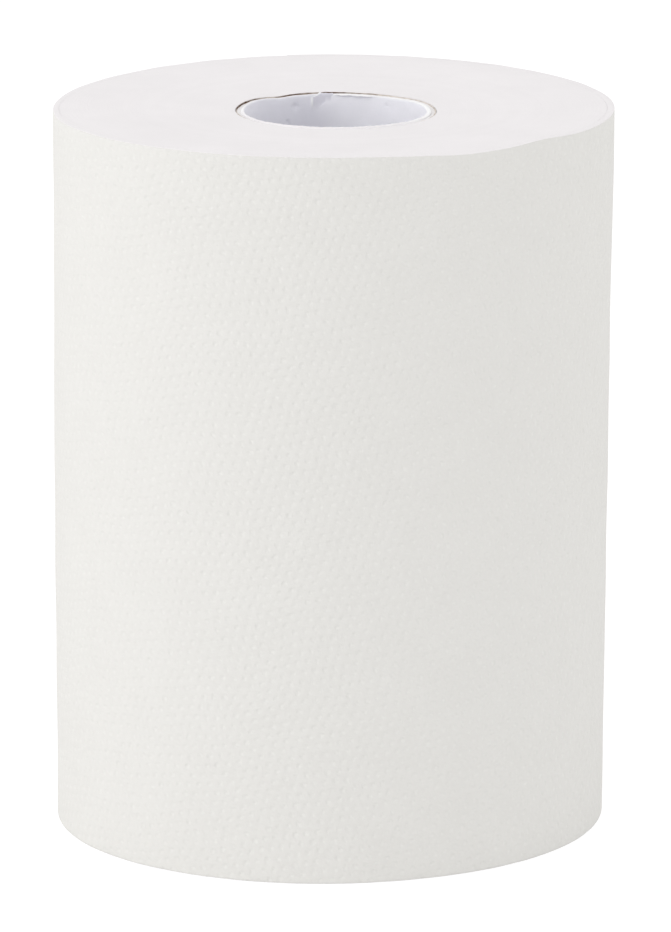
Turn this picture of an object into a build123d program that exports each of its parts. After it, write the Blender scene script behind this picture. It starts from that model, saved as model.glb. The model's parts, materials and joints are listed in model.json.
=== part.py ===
from build123d import *
import os
from math import cos, pi, radians, sin

# A roll of paper towel that stands on its end: one long paper web wound on a paperboard core.
# Millimetres, with +Z up along the core and the origin on its axis, where the roll stands.

# The wound web
sheet_width = 180.0  # width of the paper, which is the height of the roll
roll_diameter = 138.0  # mean diameter over the last turn
sheet_thickness = 0.17  # one turn as wound, and the step where the sheet ends
tail_angle = 100.0  # where the sheet ends, in degrees round from +X
core_offset = 0.5  # how far the core sits off the middle of the outline, along +X
oval_rise = 1.36  # how far the soft roll bulges where it has gone oval
lobe_rise = 0.86  # how far it bulges in three broad lobes besides
outline_arcs = 24  # arcs that carry the outline round one turn

# The ends of the wound web
rest_band = 8.0  # flat outer band that the roll stands on
dish_depth = 1.5  # how far the turns sink from that band down to the core
turn_ridges = 11  # low ridges that the turns form on each end, bundle by bundle
ridge_height = 0.2  # from the furrow between two ridges up to their crests

# The core, from the inside out
core_bore = 44.8  # clear diameter right through
liner_wall = 1.1  # inner ply, which ends in a bevelled lip
lip_bevel = 0.25  # across and down, on both sides of the lip
board_wall = 0.9  # middle plies
kraft_wall = 0.4  # outer ply, whose thin edge stands level with the paper
lip_setback = 0.2  # from the outer ply's edge down to the top of the lip
board_drop = 0.1  # from the foot of the lip's bevel down to the middle plies
winding_gap = 0.1  # between the core and the first turn

# Worked out from the sizes above
bore_radius = core_bore / 2
liner_radius = bore_radius + liner_wall
board_radius = liner_radius + board_wall
core_radius = board_radius + kraft_wall
web_bore_radius = core_radius + winding_gap
band_radius = roll_diameter / 2 - rest_band
cut_margin = sheet_width / 100


def outline_point(turn):
    """A point of the last turn, a share of the way round it from where the sheet ends."""
    angle = radians(tail_angle) + 2 * pi * turn
    bulge = oval_rise * sin(2 * angle) - lobe_rise * sin(3 * angle)
    radius = roll_diameter / 2 + bulge + sheet_thickness * (turn - 0.5)
    return radius * cos(angle) - core_offset, radius * sin(angle)


def wound_outline():
    """The roll seen from above: one turn of a slightly lobed spiral, closed by the sheet's cut edge."""
    last_turn = []
    for i in range(outline_arcs):
        start, middle, end = [outline_point((i + share) / outline_arcs) for share in (0, 0.5, 1)]
        last_turn.append(ThreePointArc(start, middle, end))
    cut_edge = Line(outline_point(1), outline_point(0))
    return make_face([*last_turn, cut_edge])


def end_cutter():
    """What the dished top end lacks: a shallow cone whose floor is ridged by the turns."""
    pitch = (band_radius - web_bore_radius) / turn_ridges
    rise = dish_depth / turn_ridges
    floor = sheet_width - dish_depth
    section = [(0, sheet_width + cut_margin), (0, floor)]
    for i in range(turn_ridges):
        section.append((web_bore_radius + i * pitch, floor + i * rise))
        section.append((web_bore_radius + (i + 0.5) * pitch, floor + (i + 0.5) * rise - ridge_height))
    section.append((band_radius, sheet_width))
    section.append((band_radius, sheet_width + cut_margin))
    return revolve(Plane.XZ * make_face(Polyline(*section, close=True)), Axis.Z)


def towel_web():
    """The wound paper: all its turns as one solid, with the turns showing on both ends."""
    web = extrude(wound_outline(), sheet_width)
    web -= extrude(Circle(web_bore_radius), sheet_width)
    top_cutter = end_cutter()
    middle = Plane.XY.offset(sheet_width / 2)
    return web - top_cutter - mirror(top_cutter, about=middle)


def core_end():
    """Half section of one end of the core, from the bore out, as radii and depths below the outer ply."""
    lip_foot = lip_setback + lip_bevel
    board_top = lip_foot + board_drop
    return [
        (bore_radius, lip_foot),
        (bore_radius + lip_bevel, lip_setback),
        (liner_radius - lip_bevel, lip_setback),
        (liner_radius, lip_foot),
        (liner_radius, board_top),
        (board_radius, board_top),
        (board_radius, 0),
        (core_radius, 0),
    ]


def core_tube():
    """The core: a tube of wound paperboard whose plies end at slightly different heights."""
    top = [(radius, sheet_width - dish_depth - depth) for radius, depth in core_end()]
    base = [(radius, dish_depth + depth) for radius, depth in core_end()]
    section = make_face(Polyline(*top, *reversed(base), close=True))
    return revolve(Plane.XZ * section, Axis.Z)


os.makedirs("parts", exist_ok=True)
export_step(towel_web(), "parts/towel_web.step")
export_step(core_tube(), "parts/core_tube.step")
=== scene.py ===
import json
from math import cos, pi, radians, sin, sqrt

import bpy
import numpy as np
from mathutils import Matrix, Vector


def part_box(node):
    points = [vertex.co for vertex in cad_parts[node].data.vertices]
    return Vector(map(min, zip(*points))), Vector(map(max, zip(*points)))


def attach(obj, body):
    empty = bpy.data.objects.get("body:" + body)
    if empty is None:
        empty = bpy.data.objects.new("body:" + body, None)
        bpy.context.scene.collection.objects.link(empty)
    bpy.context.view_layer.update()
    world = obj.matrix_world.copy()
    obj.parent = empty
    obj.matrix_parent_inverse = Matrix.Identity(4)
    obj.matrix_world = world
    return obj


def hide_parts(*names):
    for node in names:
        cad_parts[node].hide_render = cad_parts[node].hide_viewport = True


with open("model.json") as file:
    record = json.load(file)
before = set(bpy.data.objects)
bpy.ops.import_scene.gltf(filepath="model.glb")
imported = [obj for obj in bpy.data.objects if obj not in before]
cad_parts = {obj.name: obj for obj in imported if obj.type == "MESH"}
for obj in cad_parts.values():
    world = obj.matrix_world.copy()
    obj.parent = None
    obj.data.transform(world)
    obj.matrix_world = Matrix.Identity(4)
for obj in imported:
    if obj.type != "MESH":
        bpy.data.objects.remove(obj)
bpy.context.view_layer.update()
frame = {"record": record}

# A roll of embossed paper towel on a paperboard core.
# Shapes are worked out in millimetres and placed in metres.
# Angles go round from +X, and the front is at -90 degrees.
MM = 0.001
rng = np.random.default_rng(11)
SHARP_EDGE = radians(50)

# Sizes taken from the frame
web_low, web_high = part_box("towel_web")
core_low, core_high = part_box("core_tube")
mounts = {mount["name"]: mount for mount in frame["record"]["mounts"]}
HEIGHT = (web_high[2] - web_low[2]) / MM
CORE_BASE = core_low[2] / MM
CORE_TOP = core_high[2] / MM
CORE_RADIUS = (core_high[0] - core_low[0]) / 2 / MM
BORE_RADIUS = mounts["core_bore"]["dims"]["r_mm"]

# The wound web, as in the solids
ROLL_RADIUS = 69.0
OVAL_RISE = 1.36
LOBE_RISE = 0.86
SHEET = 0.17
TAIL_ANGLE = radians(100)
CORE_OFFSET = 0.5
WINDING_GAP = 0.1
REST_BAND = 8.0
WEB_BORE = CORE_RADIUS + WINDING_GAP
BAND_RADIUS = ROLL_RADIUS - REST_BAND
DISH_DEPTH = HEIGHT - CORE_TOP

# The end of the sheet, which lifts a little at the back
TAIL_LIFT = 0.4
TAIL_FLAP = 14.0

# The wall's rounded edges, and its lattice of points
GIRTH = 2 * pi * ROLL_RADIUS
EDGE = 0.12
LATTICE_ROWS = 174
LATTICE_COLUMNS = 486

# The pressed dots: one lattice point in so many, their depth and how it varies, and the plain margins
DOT_EVERY = 7
DOT_DEPTH = 0.16
DOT_DEPTH_SHARES = (0.3, 1.2)
DOT_MARGIN = 1.2

# The fine relief of the paper's material: a dot's radius and stray in dot spacings, and heights
DOT_SHARE = 0.35
DOT_STRAY = 0.15
DOT_BUMP = 0.12
CREPE_BUMP = 0.05
FIBRE_BUMP = 0.06

# How the rows of dots bend: lengths of the waves, height as a share of that, and margins that stay straight
WARP_LENGTHS = (9, 11, 13, 16, 20, 26, 31, 37, 44, 58)
WARP_SHARE = 0.011
WARP_MARGIN_ALONG = 12
WARP_MARGIN_UP = 9

# The soft unevenness of the wall
SOFT_RISE = 0.06
SOFT_LENGTHS = (24, 33, 47, 61, 80)

# The outer turns carry the embossing, and the inner ones show on the ends and meet them a little way in
JOIN_INSET = 1.5
JOIN_GAP = 0.02
JOIN_STEP = 0.2 * SHEET
END_SEGMENTS = 324
TOP_RINGS = 112
BASE_RINGS = 60

# The ends: a fine spiral ridge that comes and goes, cloudy mottling, and bundles of turns
RIDGE_PITCH = 1.15
RIDGE_HEIGHT = 0.04
RIDGE_LENGTHS = (17, 23, 31, 45)
MOTTLE_HEIGHT = 0.035
MOTTLE_LENGTHS = (9, 12, 16, 26)
BUNDLE_HEIGHT = 0.02
BUNDLE_LENGTHS = (3.1, 4.7, 6.3, 9.9)

# Where the outer turns' top edge dips and rises: angle, half width, height
RIM_WAVES = (
    (radians(-61), radians(11), -0.6),
    (radians(-42), radians(8), 0.55),
)

# How far these waves reach in from the edge, and down the wall
RIM_WAVE_REACH = 5.0
RIM_WAVE_RUN = 25

# Where the turns and the core are pushed down or up beside the hole: angle, half width, drop
DENTS = (
    (radians(126), radians(9), 0.3),
    (radians(150), radians(14), -0.2),
    (radians(28), radians(20), -0.22),
)
DENT_REACH = 2.5

# Soft creases in the last turn: start and end along the sheet and up it, from the front, and height
CREASES = (
    (-25, 130, 16, 139, 0.10),
    (0, 103, 18, 114, 0.08),
    (10, 92, 19, 96, 0.07),
    (8, 80, 20, 85, 0.07),
    (10, 54, 33, 60, 0.10),
    (-40, 19, -28, 25, 0.07),
)
CREASE_WIDTH = 1.3
CREASE_FADE = 0.4

# Where the wall leans: angle, half width, level where it starts, run up or down from there, and how far out
LEANS = (
    (radians(0), radians(40), 120, 45, 0.35),
    (radians(180), radians(40), 80, -65, -0.3),
)


def smooth(x):
    """A soft step from 0 to 1."""
    t = np.clip(x, 0, 1)
    return t * t * (3 - 2 * t)


def angle_gap(angle, at):
    """The turn from one angle to another, the short way round."""
    return (angle - at + pi) % (2 * pi) - pi


def hump(angle, at, width):
    """A soft rise to 1 at an angle."""
    return np.exp(-((angle_gap(angle, at) / width) ** 2))


def humps(angle, places):
    """Soft rises at several angles: each place is an angle, a half width and a height."""
    return sum(height * hump(angle, at, width) for at, width, height in places)


def bulge(angle):
    """How far the soft roll stands out from round."""
    return OVAL_RISE * np.sin(2 * angle) - LOBE_RISE * np.sin(3 * angle)


def wave_field(x, y, lengths, seed):
    """A smooth uneven field, as a sum of plane waves of the given lengths."""
    draw = np.random.default_rng(seed)
    total = np.zeros(np.broadcast(x, y).shape)
    for length in lengths:
        heading, phase = draw.uniform(0, 2 * pi, 2)
        total += np.sin(2 * pi * (x * cos(heading) + y * sin(heading)) / length + phase)
    return total / sqrt(len(lengths))


def join_radius(angle):
    """Where the outer turns meet the inner ones."""
    return ROLL_RADIUS + bulge(angle) - JOIN_INSET


def hole_dent(radius, angle):
    """How far the turns and the core are pushed down beside the hole."""
    return humps(angle, DENTS) * np.exp(-np.clip(radius - WEB_BORE, 0, None) / DENT_REACH)


def end_drop(radius, angle):
    """How far an end's surface lies below its outer band: a shallow dish with a fine spiral ridge."""
    dish = DISH_DEPTH * np.clip((BAND_RADIUS - radius) / (BAND_RADIUS - WEB_BORE), 0, 1)
    turn = (radius - WEB_BORE) / RIDGE_PITCH - angle / (2 * pi)
    x, y = radius * np.cos(angle), radius * np.sin(angle)
    uneven = 0.6 + 0.4 * wave_field(x, y, RIDGE_LENGTHS, seed=3)
    ridge = RIDGE_HEIGHT * uneven * (0.5 + 0.5 * np.cos(2 * pi * turn))
    mottle = MOTTLE_HEIGHT * wave_field(x, y, MOTTLE_LENGTHS, seed=4)
    bundles = BUNDLE_HEIGHT * wave_field(radius, 0 * angle, BUNDLE_LENGTHS, seed=5)
    return dish + ridge + mottle + bundles


def rim_wave(radius, angle):
    """How far the top end rises or falls near its outer edge."""
    inset = ROLL_RADIUS - radius
    return humps(angle, RIM_WAVES) * np.exp(-np.clip(inset, 0, None) / RIM_WAVE_REACH)


def top_height(radius, angle):
    """Level of the top end."""
    return HEIGHT - end_drop(radius, angle) + rim_wave(radius, angle) - hole_dent(radius, angle)


def base_height(radius, angle):
    """Level of the base, which nowhere falls below the floor."""
    return np.clip(end_drop(radius, -angle), 0, None)


def ring_points(radius, angle, level, offset=0.0):
    """Points round the axis, or round a middle that lies off it."""
    return np.stack([radius * np.cos(angle) - offset, radius * np.sin(angle), level + 0 * angle], axis=1)


def make_object(name, points, faces, materials, face_materials, attributes):
    """A mesh object from millimetre points, with its materials and named per-point vectors."""
    mesh = bpy.data.meshes.new(name)
    mesh.from_pydata((points * MM).tolist(), [], faces.tolist())
    for material in materials:
        mesh.materials.append(material)
    mesh.polygons.foreach_set("material_index", face_materials.astype(np.int32))
    mesh.polygons.foreach_set("use_smooth", np.ones(len(faces), bool))
    for key, values in attributes.items():
        attribute = mesh.attributes.new(key, "FLOAT_VECTOR", "POINT")
        attribute.data.foreach_set("vector", values.astype(np.float32).ravel())
    mesh.update()
    mesh.set_sharp_from_angle(angle=SHARP_EDGE)
    piece = bpy.data.objects.new(name, mesh)
    bpy.context.scene.collection.objects.link(piece)
    return piece


def dress(piece, node):
    """Makes a piece stand for a node of the frame."""
    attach(piece, "root")
    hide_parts(node)


# The outer turns

def sheet_warp(along, up):
    """Bends the lattice's rows into arcs without crowding them, and leaves the sheet's edges alone."""
    held_along = smooth(along / WARP_MARGIN_ALONG) * smooth((GIRTH - along) / WARP_MARGIN_ALONG)
    held = held_along * smooth(up / WARP_MARGIN_UP) * smooth((HEIGHT - up) / WARP_MARGIN_UP)
    draw = np.random.default_rng(21)
    shift_along, shift_up = 0 * along, 0 * up
    for length in WARP_LENGTHS:
        heading, phase = draw.uniform(0, 2 * pi, 2)
        forward = along * cos(heading) + up * sin(heading)
        wave = WARP_SHARE * length * np.cos(2 * pi * forward / length + phase)
        shift_along = shift_along + wave * sin(heading)
        shift_up = shift_up - wave * cos(heading)
    return along + held * shift_along, up + held * shift_up


def crease_rise(along, up):
    """The soft creases of the last turn."""
    front = GIRTH * (angle_gap(-pi / 2, TAIL_ANGLE) % (2 * pi)) / (2 * pi)
    total = 0 * along
    for along_0, up_0, along_1, up_1, rise in CREASES:
        run = np.hypot(along_1 - along_0, up_1 - up_0)
        step_x, step_y = (along_1 - along_0) / run, (up_1 - up_0) / run
        x, y = along - front - along_0, up - up_0
        forward, aside = x * step_x + y * step_y, y * step_x - x * step_y
        fade = smooth(forward / (CREASE_FADE * run)) * smooth((run - forward) / (CREASE_FADE * run))
        total = total + rise * fade * np.exp(-((aside / CREASE_WIDTH) ** 2))
    return total


def lean(angle, up):
    """How far the wall leans out near its top on the right, and in near its foot on the left."""
    total = 0 * angle
    for at, width, start, run, out in LEANS:
        total = total + out * hump(angle, at, width) * smooth((up - start) / run)
    return total


def wall_radius(along, up):
    """Radius of the last turn, without its dots."""
    turn = along / GIRTH
    angle = TAIL_ANGLE + 2 * pi * turn
    spiral = ROLL_RADIUS + bulge(angle) + SHEET * (turn - 0.5)
    lift = TAIL_LIFT * smooth((along - GIRTH + TAIL_FLAP) / TAIL_FLAP)
    soft = SOFT_RISE * wave_field(along, up, SOFT_LENGTHS, seed=8)
    return spiral + lift + soft + lean(angle, up) + crease_rise(along, up)


def lattice_rows(odd):
    """Places of a column's points up the wall, in lattice rows."""
    if odd:
        return np.concatenate([[0], np.arange(LATTICE_ROWS) + 0.5, [LATTICE_ROWS]])
    return np.arange(LATTICE_ROWS + 1.0)


def is_dot(column, rows):
    """Which of a column's points are the middles of dots."""
    axial = np.floor(rows) - (column - column % 2) // 2
    return (column + 3 * axial) % DOT_EVERY == 0


def dot_grid(column, rows):
    """Places on the grid of dots, in dot spacings: dots are at whole numbers, and at halves of both."""
    axial = rows - column / 2
    first, second = (column + 3 * axial) / DOT_EVERY, (2 * column - axial) / DOT_EVERY
    return np.stack([first + second / 2, second / 2, 0 * rows], axis=1)


def zip_pattern(left, right):
    """Triangles between two columns of points that are in order along the same path."""
    triangles = []
    a = b = 0
    while a < len(left) - 1 or b < len(right) - 1:
        go_left = b == len(right) - 1 or (a < len(left) - 1 and left[a + 1] <= right[b + 1])
        if go_left:
            triangles.append(((0, a), (1, b), (0, a + 1)))
            a += 1
        else:
            triangles.append(((0, a), (1, b), (1, b + 1)))
            b += 1
    return np.array(triangles)


def zip_columns(paths):
    """Triangles between all the columns, all the way round, and whether each triangle is on an end."""
    starts = np.cumsum([0] + [len(path) for path in paths])
    patterns, faces, kinds = {}, [], []
    for column in range(len(paths)):
        after = (column + 1) % len(paths)
        key = (column % 2, after % 2)
        if key not in patterns:
            loops = [np.append(paths[c], paths[c][-1] + 1) for c in (column, after)]
            pattern = zip_pattern(*loops)
            side, index = pattern[..., 0], pattern[..., 1]
            levels = [np.take(loop, index, mode="clip") for loop in loops]
            place = np.where(side == 0, *levels).mean(axis=1)
            patterns[key] = side, index, ((place < -1) | (place > LATTICE_ROWS + 1)).astype(int)
        side, index, kind = patterns[key]
        left = starts[column] + index % len(paths[column])
        right = starts[after] + index % len(paths[after])
        faces.append(np.where(side == 0, left, right))
        kinds.append(kind)
    return np.concatenate(faces), np.concatenate(kinds)


def outer_turns(paper, cut_paper):
    """The last turns: an embossed wall, its two rounded edges, and the narrow rings that the ends show."""
    pitch_along, pitch_up = GIRTH / LATTICE_COLUMNS, (HEIGHT - 2 * EDGE) / LATTICE_ROWS
    insets = np.array([0.3 * EDGE, EDGE, 0.6 * JOIN_INSET, JOIN_INSET])
    drops = np.array([0.3 * EDGE, 0, 0, 0])
    ends = (0, base_height, -drops), (-1, top_height, drops)
    rim_count = len(insets)
    rim_steps = np.arange(1, rim_count + 1)

    def with_rims(values):
        """A column's values, with the first and the last one repeated over the rims."""
        return [np.repeat(values[:1], rim_count, axis=0), values, np.repeat(values[-1:], rim_count, axis=0)]

    points, sheet, dots, paths = [], [], [], []
    for column in range(LATTICE_COLUMNS + 1):
        rows = lattice_rows(column % 2)
        along_0 = np.full(len(rows), column * pitch_along)
        up_0 = EDGE + rows * pitch_up
        dot = is_dot(column, rows) & (up_0 > DOT_MARGIN) & (up_0 < HEIGHT - DOT_MARGIN)
        along, up = sheet_warp(along_0, up_0)
        radius = wall_radius(along, up) - DOT_DEPTH * dot * rng.uniform(*DOT_DEPTH_SHARES, len(rows))
        angle = TAIL_ANGLE + 2 * pi * along / GIRTH
        wave = rim_wave(np.full(len(rows), ROLL_RADIUS), angle)
        wave = wave * smooth((up - HEIGHT + RIM_WAVE_RUN) / RIM_WAVE_RUN)
        wall = ring_points(radius, angle, up + wave, CORE_OFFSET)
        rim_angle = np.full(rim_count, angle[-1])
        rims = []
        for edge, height_of, fall in ends:
            rim_radius = radius[edge] - insets
            rim_radius[-1] = join_radius(angle[-1]) + JOIN_STEP * column / LATTICE_COLUMNS
            level = height_of(ROLL_RADIUS - insets, rim_angle) - fall
            rims.append(ring_points(rim_radius, rim_angle, level, CORE_OFFSET))
        base, top = rims
        points += [base[::-1], wall, top]
        sheet += with_rims(np.stack([along_0, up_0, 0 * up_0], axis=1))
        dots += with_rims(dot_grid(column, rows))
        paths.append(np.concatenate([-rim_steps[::-1], rows, LATTICE_ROWS + rim_steps]))
    faces, kinds = zip_columns(paths)
    attributes = {"sheet": np.concatenate(sheet), "dots": np.concatenate(dots)}
    return make_object("outer_turns", np.concatenate(points), faces, [paper, cut_paper], kinds, attributes)


# Pieces that go all the way round

def lathe(name, rings, materials, ring_materials, attributes):
    """A closed piece from rings of points, in order round its section: up outside, in, down inside, out."""
    rings = np.array(rings)
    count, segments = rings.shape[:2]
    ring, segment = np.meshgrid(np.arange(count), np.arange(segments), indexing="ij")
    after_ring, after_segment = (ring + 1) % count, (segment + 1) % segments
    corners = [
        ring * segments + segment, ring * segments + after_segment,
        after_ring * segments + after_segment, after_ring * segments + segment,
    ]
    faces = np.stack(corners, axis=-1).reshape(-1, 4)
    kinds = np.repeat(np.array(ring_materials), segments)
    return make_object(name, rings.reshape(-1, 3), faces, materials, kinds, attributes)


def inner_turns(cut_paper):
    """The turns inside the last ones: two dished ends with a spiral ridge, and the hole for the core."""
    angle = np.arange(END_SEGMENTS) * 2 * pi / END_SEGMENTS
    outer = join_radius(angle) - JOIN_GAP
    mean_outer = np.full(END_SEGMENTS, ROLL_RADIUS - JOIN_INSET)
    rings = []
    top_shares, base_shares = np.linspace(0, 1, TOP_RINGS), np.linspace(1, 0, BASE_RINGS)
    for height_of, shares in ((top_height, top_shares), (base_height, base_shares)):
        for share in shares:
            radius = outer + (WEB_BORE - outer) * share
            level = height_of(mean_outer * (1 - share) + WEB_BORE * share, angle)
            rings.append(ring_points(radius, angle, level, CORE_OFFSET * (1 - share)))
    return lathe("inner_turns", rings, [cut_paper], [0] * len(rings), {"sheet": np.concatenate(rings)})


# The core

CORE_SEGMENTS = 900
KRAFT_WALL = 0.4
LINER_WALL = 1.1
BORE_DEPTHS = np.concatenate([
    np.arange(2, 3.7, 0.2), np.arange(4, 12, 0.45), np.linspace(13, CORE_TOP - CORE_BASE - 3, 16),
])

# How far the plies end below the rim, the least step between the outer two, and the lip's slant to the back
KRAFT_SETBACK = 0.04
BOARD_SETBACK = 0.3
PLY_STEP = 0.09
LIP_SLANT = 0.15

# How far the outer ply is set down and the middle plies are raised at the front
FRONT_KRAFT = 0.14
FRONT_BOARD = 0.2

# Where the outer ply's edge and the lip dip, and where the bore's mouth is wider: angle, half width, how far
KRAFT_DIPS = ((radians(35), radians(25), 0.1),)
LIP_DIPS = ((radians(217), radians(25), 0.2),)
WIDE_MOUTHS = ((pi, radians(30), 0.15),)

# Where the liner has come away from the board: angle, half width, depth
CRACK_WIDTH = 0.35
CRACKS = (
    (radians(-18), radians(15), 0.9),
    (radians(203), radians(11), 0.7),
)

# The torn gap in the liner: its right side leans, and its left side stands upright below a torn corner
GAP_RIGHT = radians(91)
GAP_LEAN = radians(2.9)
GAP_LEFT = radians(105)
GAP_DEPTH = 0.08
GAP_LENGTH = 4.5
GAP_FADE = 0.6 * GAP_LENGTH
GAP_BLEND = 0.25
GAP_LIP_RISE = 0.2
TEAR_ANGLE = radians(100)
TEAR_DEPTH = 0.9
TEAR_TIPS = ((TEAR_ANGLE, 0.25 / BORE_RADIUS, 0.2),)

# The white torn edge on the gap's left side: place beside it, half width, length, fading and height
TORN_ASIDE = 0.15
TORN_WIDTH = 0.28
TORN_LENGTH = 4.4
TORN_FADE = 2.6
TORN_RISE = 0.25

# Where the liner's lip curls in over the bore
CURL_ANGLE = radians(77.5)
CURL_HALF = radians(13.5)
CURL_REACH = 0.7

# Where the liner leans out towards a thin lip: angle, half width, how far, and the depth over which it fades
FLARES = ((radians(125), radians(50), 0.55),)
FLARE_REACH = 2.5

# Where the outer ply's edge is dark brown with painted shade, the lip is torn white, and the lip shows the
# liner's painted shade instead of its torn colour: angle, half width, share
KRAFT_BROWN_AND_PAINTED_SHADES = (
    (radians(160), radians(22), 1.0),
    (radians(116), radians(12), 0.9),
    (radians(91), radians(11), 1.0),
    (radians(73), radians(8), 0.45),
)
LIP_WHITES = (
    (radians(5), radians(45), 1.0),
    (radians(76), radians(14), 0.6),
    (radians(178), radians(14), 0.75),
)
LIP_PAINTED_SHADES = ((radians(136), radians(44), 0.65),)

# Where the liner is painted darker as painted shade, broadly on its back left and beside its gap: angle, half
# width, share
LINER_PAINTED_SHADES = (
    (radians(136), radians(44), 1.0),
    (radians(106), radians(13), 0.4),
)

# On the right of the gap that painted shade is weaker by a share, from a depth up over a run
RIGHT_PALER = 0.45
PALER_DEPTH = 5
PALER_RUN = 4
PALER_BLEND = 0.8

# Small marks in the liner: angle, depth, half width, half height, and how far in, where less than 0 is a dent
LINER_MARKS = (
    (radians(116.5), 2.9, 0.9, 0.9, -0.3),
    (radians(122.5), 6.8, 0.6, 0.5, -0.4),
    (radians(121), 7.5, 0.4, 0.3, -0.35),
    (radians(61), 1.6, 0.9, 0.2, -0.12),
    (radians(56), 2.3, 0.5, 0.25, -0.12),
)

# The unevenness of the bore
BORE_RISE = 0.05
BORE_LENGTHS = (5, 8, 13, 21)

# Which material each ring of an end starts, from the outside in: outer ply, middle plies and liner
LINER, BOARD, KRAFT = range(3)
END_PLIES = [KRAFT] * 5 + [BOARD] * 2 + [LINER] * 9


def ragged(angle, heights, counts, seed):
    """An uneven height round a cut edge."""
    draw = np.random.default_rng(seed)
    total = 0 * angle
    for rise, count in zip(heights, counts):
        total = total + rise * np.sin(count * angle + draw.uniform(0, 2 * pi))
    return total


def gap_sides(depth):
    """The angles of the gap's right and left sides, at a depth in the bore."""
    torn_corner = np.clip(depth / TEAR_DEPTH, 0, 1)
    return GAP_RIGHT + GAP_LEAN * depth, TEAR_ANGLE + (GAP_LEFT - TEAR_ANGLE) * torn_corner


def in_gap(angle, depth):
    """From 0 on the liner to 1 in its gap, which closes further down."""
    right, left = gap_sides(depth)
    inside = np.minimum(angle_gap(angle, right), angle_gap(left, angle)) * BORE_RADIUS
    return smooth(inside / GAP_BLEND + 0.5) * smooth((GAP_LENGTH - depth) / GAP_FADE)


def torn_edge(angle, depth):
    """The white torn edge on the gap's left side, from 0 to 1."""
    aside = angle_gap(angle, gap_sides(depth)[1]) * BORE_RADIUS - TORN_ASIDE
    return np.exp(-((aside / TORN_WIDTH) ** 2)) * smooth((TORN_LENGTH - depth) / TORN_FADE)


def flare(angle, depth):
    """How far the liner leans out, at a depth in the bore."""
    return humps(angle, FLARES) * np.exp(-depth / FLARE_REACH)


def kraft_brown_and_painted_shade(angle):
    """How dark the outer ply's edge is painted, from 0 to 1: its own brown, with painted shade at the back
    and the left.
    """
    uneven = ragged(angle, (0.1, 0.1, 0.08), (13, 37, 71), seed=51)
    return np.clip(0.08 + uneven + humps(angle, KRAFT_BROWN_AND_PAINTED_SHADES), 0, 1)


def lip_white(angle):
    """How white the torn lip is, from 0 to 1."""
    return np.clip(0.1 * smooth(0.5 + 3 * np.sin(angle)) + humps(angle, LIP_WHITES), 0, 1)


def liner_painted_shade(angle, depth):
    """How dark the liner's painted shade is: less so near its lip on the right of the gap's leaning side."""
    left_side = smooth(angle_gap(angle, gap_sides(depth)[0]) * BORE_RADIUS / PALER_BLEND + 0.5)
    near_lip = smooth((PALER_DEPTH - depth) / PALER_RUN)
    return humps(angle, LINER_PAINTED_SHADES) * (1 - RIGHT_PALER * near_lip * (1 - left_side))


def core_end(angle, marks, seed):
    """Rings of one end of the core, from the outside in: radius, depth below the rim, and how torn.

    The marks are 1 for an end with the dents, the gap and the curled lip, and 0 for a plain one.
    """
    dent = marks * hole_dent(WEB_BORE + 0 * angle, angle)
    front = smooth(0.2 - np.sin(angle))
    kraft = KRAFT_SETBACK + dent + FRONT_KRAFT * front + humps(angle, KRAFT_DIPS)
    kraft = kraft + ragged(angle, (0.03, 0.03, 0.03, 0.02), (3, 11, 29, 67), seed)
    kraft_uneven = ragged(angle, (0.5, 0.3, 0.3), (2, 9, 31), seed + 1)
    kraft_inside = CORE_RADIUS - KRAFT_WALL * (0.85 + 0.25 * kraft_uneven)
    board = BOARD_SETBACK - FRONT_BOARD * marks * front + dent
    board = board + ragged(angle, (0.04, 0.03), (7, 23), seed + 3)
    board = np.maximum(board, kraft + PLY_STEP)
    gap = marks * in_gap(angle, 0.3)
    lip = marks * LIP_SLANT * np.sin(angle) + dent - GAP_LIP_RISE * gap - marks * humps(angle, TEAR_TIPS)
    lip = lip + marks * humps(angle, LIP_DIPS)
    lip = lip + ragged(angle, (0.03, 0.03, 0.03, 0.03), (5, 17, 43, 97), seed + 2)
    curl = smooth(1.25 - np.abs(angle_gap(angle, CURL_ANGLE)) / CURL_HALF)
    curl = marks * CURL_REACH * curl * (1 + ragged(angle, (0.2, 0.15), (23, 41), seed + 4))
    crack = marks * humps(angle, CRACKS)
    bore = BORE_RADIUS + GAP_DEPTH * gap + marks * humps(angle, WIDE_MOUTHS)
    lip_bore = bore + marks * flare(angle, 0.2)
    core_radius, outside = CORE_RADIUS + 0 * angle, BORE_RADIUS + LINER_WALL + 0 * angle
    outer_ply = [
        (core_radius, 4 + 0 * angle, 0),
        (core_radius, kraft + 0.03, 0),
        (core_radius - 0.05, kraft, 0),
        (kraft_inside + 0.04, kraft + 0.01, 0),
        (kraft_inside, kraft + 0.05, 0),
    ]
    middle_plies = [
        (kraft_inside, board, 0),
        (outside + CRACK_WIDTH, board, 0),
    ]
    lip_outside = [
        (outside + 0.05, np.maximum(lip + 0.25, board) + crack, 0.3),
        (outside, lip + 0.2, 0.8),
        (outside - 0.08, lip + 0.05, 1),
        (outside - 0.2, lip, 1),
    ]
    lip_inside = [
        (lip_bore + 0.2 - 0.6 * curl, lip + 0.05 * curl, 1),
        (lip_bore + 0.1 - curl, lip + 0.05 + 0.15 * curl, 0.8),
        (lip_bore + 0.03 - 0.9 * curl, lip + 0.18 + 0.2 * curl, 0.25),
        (bore + marks * flare(angle, 0.6), lip + 0.45 + 0.05 * curl, 0),
        (bore + marks * flare(angle, 0.9), lip + 0.75, 0),
    ]
    return outer_ply + middle_plies + lip_outside + lip_inside


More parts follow.
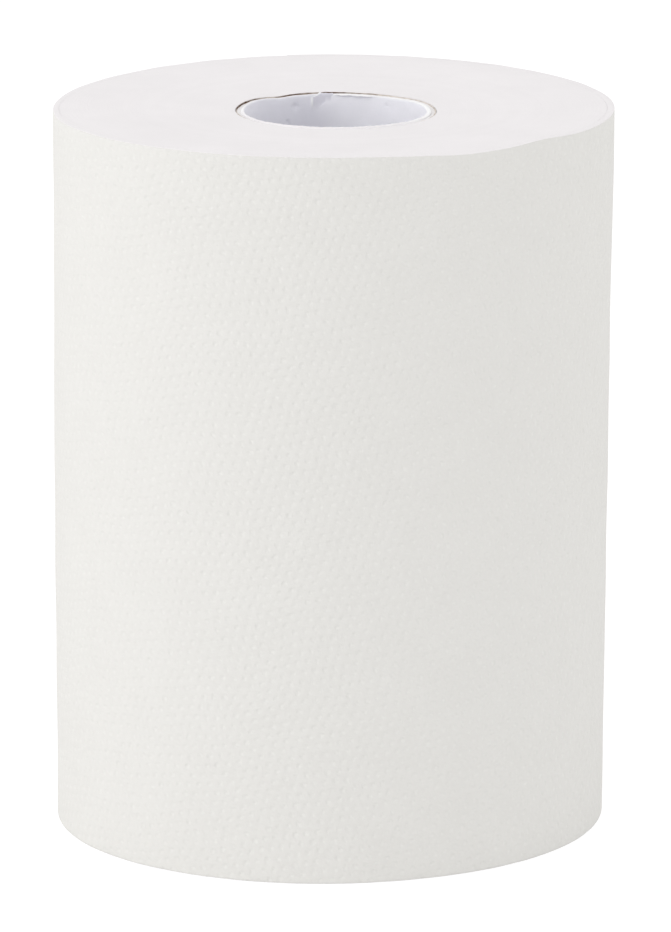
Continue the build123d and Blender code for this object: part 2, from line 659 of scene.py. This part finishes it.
def bore_radius(angle, depth):
    """Radius of the liner's inner face, with its gap, its torn edge and its small dents."""
    uneven = BORE_RISE * wave_field(angle * BORE_RADIUS, depth, BORE_LENGTHS, seed=31)
    total = BORE_RADIUS + flare(angle, depth) + uneven * smooth((depth - 0.8) / 2)
    total = total + GAP_DEPTH * in_gap(angle, depth) - TORN_RISE * torn_edge(angle, depth)
    for at, deep, wide, high, rise in LINER_MARKS:
        x = angle_gap(angle, at) * BORE_RADIUS / wide
        total = total - rise * np.exp(-(x ** 2) - ((depth - deep) / high) ** 2)
    return total


def paperboard_core(liner, board, kraft):
    """The core: a tube of plies with a ragged rim, a thin brown outer ply and a torn gap inside."""
    angle = np.arange(CORE_SEGMENTS) * 2 * pi / CORE_SEGMENTS
    # The brown share is the outer ply's own brown together with painted shade at the back and the left
    brown, white = kraft_brown_and_painted_shade(angle), lip_white(angle)
    rings, ply, tint = [], [], []

    def add_ring(radius, level, torn, pale, gap):
        """Places a ring and paints its points."""
        rings.append(ring_points(radius, angle, level))
        ply.append(np.stack([brown, torn, pale], axis=1))
        # Each ring carries its share of the gap's colour and of the liner's painted shade
        tint.append(np.stack([gap, liner_painted_shade(angle, CORE_TOP - level), 0 * angle], axis=1))

    # At the back left the lip's torn colour gives way to the liner's painted shade
    lip_outside_painted_shade = 1 - humps(angle, LIP_PAINTED_SHADES)
    for radius, depth, torn in core_end(angle, 1.0, seed=41):
        gap, edge = in_gap(angle, depth), torn_edge(angle, depth)
        torn = torn * lip_outside_painted_shade * (1 - gap)
        add_ring(radius, CORE_TOP - depth, torn, np.maximum(torn * white, edge), gap)
    for depth in BORE_DEPTHS:
        edge = torn_edge(angle, depth)
        add_ring(bore_radius(angle, depth), CORE_TOP - depth, 0 * angle, edge, in_gap(angle, depth))
    for radius, depth, torn in core_end(angle, 0.0, seed=61)[::-1]:
        add_ring(radius, CORE_BASE + depth, torn + 0 * angle, 0.5 * torn + 0 * angle, 0 * angle)
    plies = END_PLIES + [LINER] * (len(BORE_DEPTHS) + 1) + END_PLIES[:-1][::-1]
    attributes = {"ply": np.concatenate(ply), "liner": np.concatenate(tint)}
    return lathe("paperboard_core", rings, [liner, board, kraft], plies, attributes)


# Materials

SPECULAR = 0.25
PAPER_COLOURS = (0.706, 0.695, 0.670), (0.767, 0.759, 0.735)
END_COLOURS = (0.762, 0.738, 0.746), (0.911, 0.886, 0.893)
LINER_COLOURS = (0.87, 0.865, 0.91), (0.97, 0.965, 1.0)
# The colour of the liner's painted shade
LINER_PAINTED_SHADE = (0.74, 0.735, 0.795)
# The gap's colour: the ply under the liner, darkened with painted shade of the recess
LINER_GAP_AND_PAINTED_SHADE = (0.70, 0.69, 0.75)
LINER_TORN = (0.86, 0.838, 0.848)
LINER_WHITE = (0.92, 0.92, 0.925)
BOARD_COLOURS = (0.76, 0.735, 0.735), (0.88, 0.86, 0.86)
KRAFT_COLOURS = (0.66, 0.59, 0.53), (0.78, 0.73, 0.68)
# The outer ply's dark brown in painted shade
KRAFT_DARK_AND_PAINTED_SHADE = (0.10, 0.052, 0.028)


def new_material(name, roughness):
    """A material with its tree and main shader."""
    material = bpy.data.materials.new(name)
    material.use_nodes = True
    shader = material.node_tree.nodes["Principled BSDF"]
    shader.inputs["Roughness"].default_value = roughness
    shader.inputs["Specular IOR Level"].default_value = SPECULAR
    return material, material.node_tree, shader


def add(tree, kind, inputs=(), **settings):
    """A node with its settings, and its inputs set or linked by name or number."""
    node = tree.nodes.new(kind)
    for key, value in settings.items():
        setattr(node, key, value)
    for key, value in dict(inputs).items():
        if isinstance(value, bpy.types.NodeSocket):
            tree.links.new(value, node.inputs[key])
        else:
            node.inputs[key].default_value = value
    return node


def math(tree, operation, a, b=0.0):
    """The result of a step of arithmetic."""
    return add(tree, "ShaderNodeMath", {0: a, 1: b}, operation=operation).outputs[0]


def weighted(tree, a, a_share, b, b_share):
    """The sum of two values, each times its share."""
    return math(tree, "ADD", math(tree, "MULTIPLY", a, a_share), math(tree, "MULTIPLY", b, b_share))


def vector_math(tree, operation, a, b):
    """The result of a step of arithmetic on vectors."""
    return add(tree, "ShaderNodeVectorMath", {0: a, 1: b}, operation=operation).outputs[0]


def length_of(tree, vector):
    """The length of a vector."""
    return add(tree, "ShaderNodeVectorMath", {0: vector}, operation="LENGTH").outputs["Value"]


def noise(tree, vector, scale, detail=3.0, roughness=0.55):
    """A noise texture's value, in features to one unit of the given vector."""
    inputs = {"Vector": vector, "Scale": scale, "Detail": detail, "Roughness": roughness}
    return add(tree, "ShaderNodeTexNoise", inputs).outputs["Fac"]


def line_noise(tree, value, scale, detail):
    """A noise texture's value along one line."""
    inputs = {"W": value, "Scale": scale, "Detail": detail}
    return add(tree, "ShaderNodeTexNoise", inputs, noise_dimensions="1D").outputs["Fac"]


def mixed_colour(tree, factor, under, over):
    """A colour between two, by a factor from 0 to 1, where the one under may be a link."""
    node = add(tree, "ShaderNodeMix", {"Factor": factor}, data_type="RGBA")
    lower, upper = [socket for socket in node.inputs if socket.type == "RGBA"]
    if isinstance(under, bpy.types.NodeSocket):
        tree.links.new(under, lower)
    else:
        lower.default_value = (*under, 1)
    upper.default_value = (*over, 1)
    return [socket for socket in node.outputs if socket.type == "RGBA"][0]


def finish_material(tree, shader, colour, height, distance):
    """Gives the shader its colour, and a bump of a height times a distance in millimetres."""
    tree.links.new(colour, shader.inputs["Base Color"])
    node = add(tree, "ShaderNodeBump", {"Height": height, "Distance": distance * MM, "Strength": 1.0})
    tree.links.new(node.outputs["Normal"], shader.inputs["Normal"])


def attribute_vector(tree, name):
    """A vector that is kept on a piece's points."""
    return add(tree, "ShaderNodeAttribute", attribute_name=name).outputs["Vector"]


def painted_share(tree, name, axis):
    """A share from 0 to 1 that is painted on the core's points."""
    return add(tree, "ShaderNodeSeparateXYZ", {0: attribute_vector(tree, name)}).outputs[axis]


def dot_height(tree):
    """A height that is 0 in the middle of each pressed dot and 1 between them."""
    middle = (0.5, 0.5, 0)
    place = attribute_vector(tree, "dots")
    stray = add(tree, "ShaderNodeTexNoise", {"Vector": place, "Scale": 0.9, "Detail": 1.0}).outputs["Color"]
    aside = vector_math(tree, "SUBTRACT", stray, middle)
    aside = vector_math(tree, "MULTIPLY", aside, (DOT_STRAY, DOT_STRAY, 0))
    place = vector_math(tree, "ADD", place, aside)
    away = []
    for shift in (0.5, 0.0):
        moved = vector_math(tree, "ADD", place, (shift, shift, 0))
        inside = add(tree, "ShaderNodeVectorMath", {0: moved}, operation="FRACTION").outputs[0]
        centred = vector_math(tree, "SUBTRACT", inside, middle)
        away.append(length_of(tree, vector_math(tree, "MULTIPLY", centred, (1, sqrt(3), 0))))
    inputs = {"Value": math(tree, "MINIMUM", *away), "From Min": 0.0, "From Max": DOT_SHARE}
    return add(tree, "ShaderNodeMapRange", inputs, interpolation_type="SMOOTHSTEP").outputs["Result"]


def embossed_paper():
    """The face of the sheet: soft white tissue with pressed dots, crepe lines and fibres."""
    material, tree, shader = new_material("embossed_paper", roughness=0.92)
    place = attribute_vector(tree, "sheet")
    crepe = noise(tree, vector_math(tree, "MULTIPLY", place, (2.6, 0.5, 1)), scale=1.0, detail=4)
    fibre = noise(tree, place, scale=2.2, detail=5, roughness=0.75)
    cloud = noise(tree, place, scale=0.09)
    relief = dot_height(tree)
    tone = math(tree, "ADD", weighted(tree, fibre, 0.6, cloud, 0.4), 0.22)
    # The middle of each pressed dot is painted paler, a painted highlight
    tone = math(tree, "SUBTRACT", tone, math(tree, "MULTIPLY", relief, 0.3))
    uneven = math(tree, "MULTIPLY", noise(tree, place, scale=0.25), 2.0)
    dots = math(tree, "MULTIPLY", math(tree, "MULTIPLY", relief, uneven), DOT_BUMP)
    height = math(tree, "ADD", dots, weighted(tree, crepe, CREPE_BUMP, fibre, FIBRE_BUMP))
    finish_material(tree, shader, mixed_colour(tree, tone, *PAPER_COLOURS), height, 1.0)
    return material


def cut_ends():
    """The ends of the turns: hundreds of cut edges side by side."""
    material, tree, shader = new_material("cut_ends", roughness=0.95)
    place = add(tree, "ShaderNodeTexCoord").outputs["Object"]
    radius = length_of(tree, vector_math(tree, "MULTIPLY", place, (1, 1, 0)))
    turns = line_noise(tree, radius, scale=2600.0, detail=2.0)
    bands = line_noise(tree, radius, scale=330.0, detail=3.0)
    fluff = noise(tree, place, scale=2400.0, detail=4, roughness=0.65)
    cloud = noise(tree, place, scale=60.0)
    lines = weighted(tree, turns, 0.4, fluff, 0.6)
    tone = weighted(tree, lines, 0.5, weighted(tree, bands, 0.2, cloud, 0.8), 0.5)
    finish_material(tree, shader, mixed_colour(tree, tone, *END_COLOURS), lines, 0.06)
    return material


def core_ply(name, colours, relief, covers=()):
    """A ply of the core with cloudy fibres, and painted covers: attribute, axis, strength and colour."""
    material, tree, shader = new_material(name, roughness=0.85)
    place = add(tree, "ShaderNodeTexCoord").outputs["Object"]
    fibre = noise(tree, place, scale=1500.0, detail=5, roughness=0.7)
    cloud = noise(tree, place, scale=140.0)
    colour = mixed_colour(tree, weighted(tree, fibre, 0.5, cloud, 0.5), *colours)
    for attribute, axis, strength, over in covers:
        share = math(tree, "MULTIPLY", painted_share(tree, attribute, axis), strength)
        colour = mixed_colour(tree, share, colour, over)
    finish_material(tree, shader, colour, fibre, relief)
    return material


# The liner has painted shade on its back left, is darker in its gap from the ply under it and from painted
# shade, and is paler where its edge is torn
LINER_COVERS = (
    ("liner", "Y", 0.8, LINER_PAINTED_SHADE),
    ("liner", "X", 1.0, LINER_GAP_AND_PAINTED_SHADE),
    ("ply", "Y", 1.0, LINER_TORN),
    ("ply", "Z", 1.0, LINER_WHITE),
)

# The outer ply's cut edge is tan with dark brown stretches, which carry painted shade at the back and the
# left
KRAFT_COVERS = (("ply", "X", 1.0, KRAFT_DARK_AND_PAINTED_SHADE),)


# Floor, light and camera

FLOOR_GAP = 0.1 * MM
FLOOR_HALF = 3.0
FLOOR_LIT = 0.97
FLOOR_CATCH = 0.25
FLOOR_GLOW = 0.85
WORLD_LIGHT = 0.86

# Square lights that face the roll's middle: name, azimuth from the front to the right, elevation and power
LIGHTS = (
    ("key", -62, 18, 17.0),
    ("right_fill", 82, 15, 8.8),
    ("top_fill", -55, 62, 4.5),
)
LIGHT_DISTANCE = 2.4
LIGHT_SIZE = 1.95

# The photograph's view
CAMERA_TARGET = Vector((0.407, 0, 87.95)) * MM
CAMERA_DISTANCE = 1584.3 * MM
CAMERA_ELEVATION = radians(13.92)
CAMERA_ROLL = radians(0.333)
CAMERA_LENS = 244.18
CAMERA_SENSOR = 36


def seen_directly(tree):
    """Is 1 for what the camera sees itself, in a shine or through something, and 0 for what only lights."""
    path = add(tree, "ShaderNodeLightPath")
    seen = math(tree, "MAXIMUM", path.outputs["Is Camera Ray"], path.outputs["Is Glossy Ray"])
    return math(tree, "MAXIMUM", seen, path.outputs["Is Transmission Ray"])


def lit_or_seen(tree, lit, seen, output):
    """One shader for what only lights and another for what is seen."""
    either = add(tree, "ShaderNodeMixShader", {0: seen_directly(tree), 1: lit.outputs[0], 2: seen.outputs[0]})
    add(tree, output, {"Surface": either.outputs[0]})


def grey(value):
    """A colour without a tint."""
    return value, value, value, 1


def studio_floor():
    """A plain pale floor, white to the camera but for the roll's own soft shadow."""
    corners = [(-1, -1), (1, -1), (1, 1), (-1, 1)]
    mesh = bpy.data.meshes.new("floor")
    mesh.from_pydata([(x * FLOOR_HALF, y * FLOOR_HALF, 0) for x, y in corners], [], [(0, 1, 2, 3)])
    floor = bpy.data.objects.new("floor", mesh)
    floor.location.z = -FLOOR_GAP
    bpy.context.scene.collection.objects.link(floor)
    material = bpy.data.materials.new("floor")
    material.use_nodes = True
    tree = material.node_tree
    tree.nodes.clear()
    catch = add(tree, "ShaderNodeBsdfDiffuse", {"Color": grey(FLOOR_CATCH)})
    glow = add(tree, "ShaderNodeEmission", {"Strength": FLOOR_GLOW})
    shown = add(tree, "ShaderNodeAddShader", {0: catch.outputs[0], 1: glow.outputs[0]})
    plain = add(tree, "ShaderNodeBsdfDiffuse", {"Color": grey(FLOOR_LIT)})
    lit_or_seen(tree, plain, shown, "ShaderNodeOutputMaterial")
    mesh.materials.append(material)


def studio_world():
    """Even light from all round, seen as white by the camera."""
    world = bpy.data.worlds.new("studio")
    bpy.context.scene.world = world
    world.use_nodes = True
    tree = world.node_tree
    tree.nodes.clear()
    lit = add(tree, "ShaderNodeBackground", {"Color": grey(1), "Strength": WORLD_LIGHT})
    white = add(tree, "ShaderNodeBackground", {"Color": grey(1), "Strength": 1.0})
    lit_or_seen(tree, lit, white, "ShaderNodeOutputWorld")


def area_light(name, azimuth, elevation, power):
    """A soft light that faces the roll's middle."""
    a, e = radians(azimuth), radians(elevation)
    way = Vector((sin(a) * cos(e), -cos(a) * cos(e), sin(e)))
    data = bpy.data.lights.new(name, "AREA")
    data.shape = "SQUARE"
    data.size = LIGHT_SIZE
    data.energy = power
    lamp = bpy.data.objects.new(name, data)
    lamp.location = Vector((0, 0, HEIGHT * MM / 2)) + way * LIGHT_DISTANCE
    lamp.rotation_euler = (-way).to_track_quat("-Z", "Y").to_euler()
    bpy.context.scene.collection.objects.link(lamp)


def camera():
    """The photograph's view: from the front, a little above, through a long lens."""
    back = Vector((0, -cos(CAMERA_ELEVATION), sin(CAMERA_ELEVATION)))
    data = bpy.data.cameras.new("camera")
    data.lens = CAMERA_LENS
    data.sensor_width = CAMERA_SENSOR
    eye = bpy.data.objects.new("camera", data)
    place = Matrix.Translation(CAMERA_TARGET + back * CAMERA_DISTANCE)
    turn = (-back).to_track_quat("-Z", "Y").to_matrix().to_4x4()
    eye.matrix_world = place @ turn @ Matrix.Rotation(CAMERA_ROLL, 4, "Z")
    bpy.context.scene.collection.objects.link(eye)
    bpy.context.scene.camera = eye


paper = embossed_paper()
ends = cut_ends()
liner = core_ply("core_liner", LINER_COLOURS, 0.05, LINER_COVERS)
board = core_ply("core_board", BOARD_COLOURS, 0.08)
kraft = core_ply("core_kraft", KRAFT_COLOURS, 0.08, KRAFT_COVERS)

dress(outer_turns(paper, ends), "towel_web")
dress(inner_turns(ends), "towel_web")
dress(paperboard_core(liner, board, kraft), "core_tube")

studio_floor()
studio_world()
for light in LIGHTS:
    area_light(*light)
camera()
bpy.context.scene.view_settings.view_transform = "Standard"
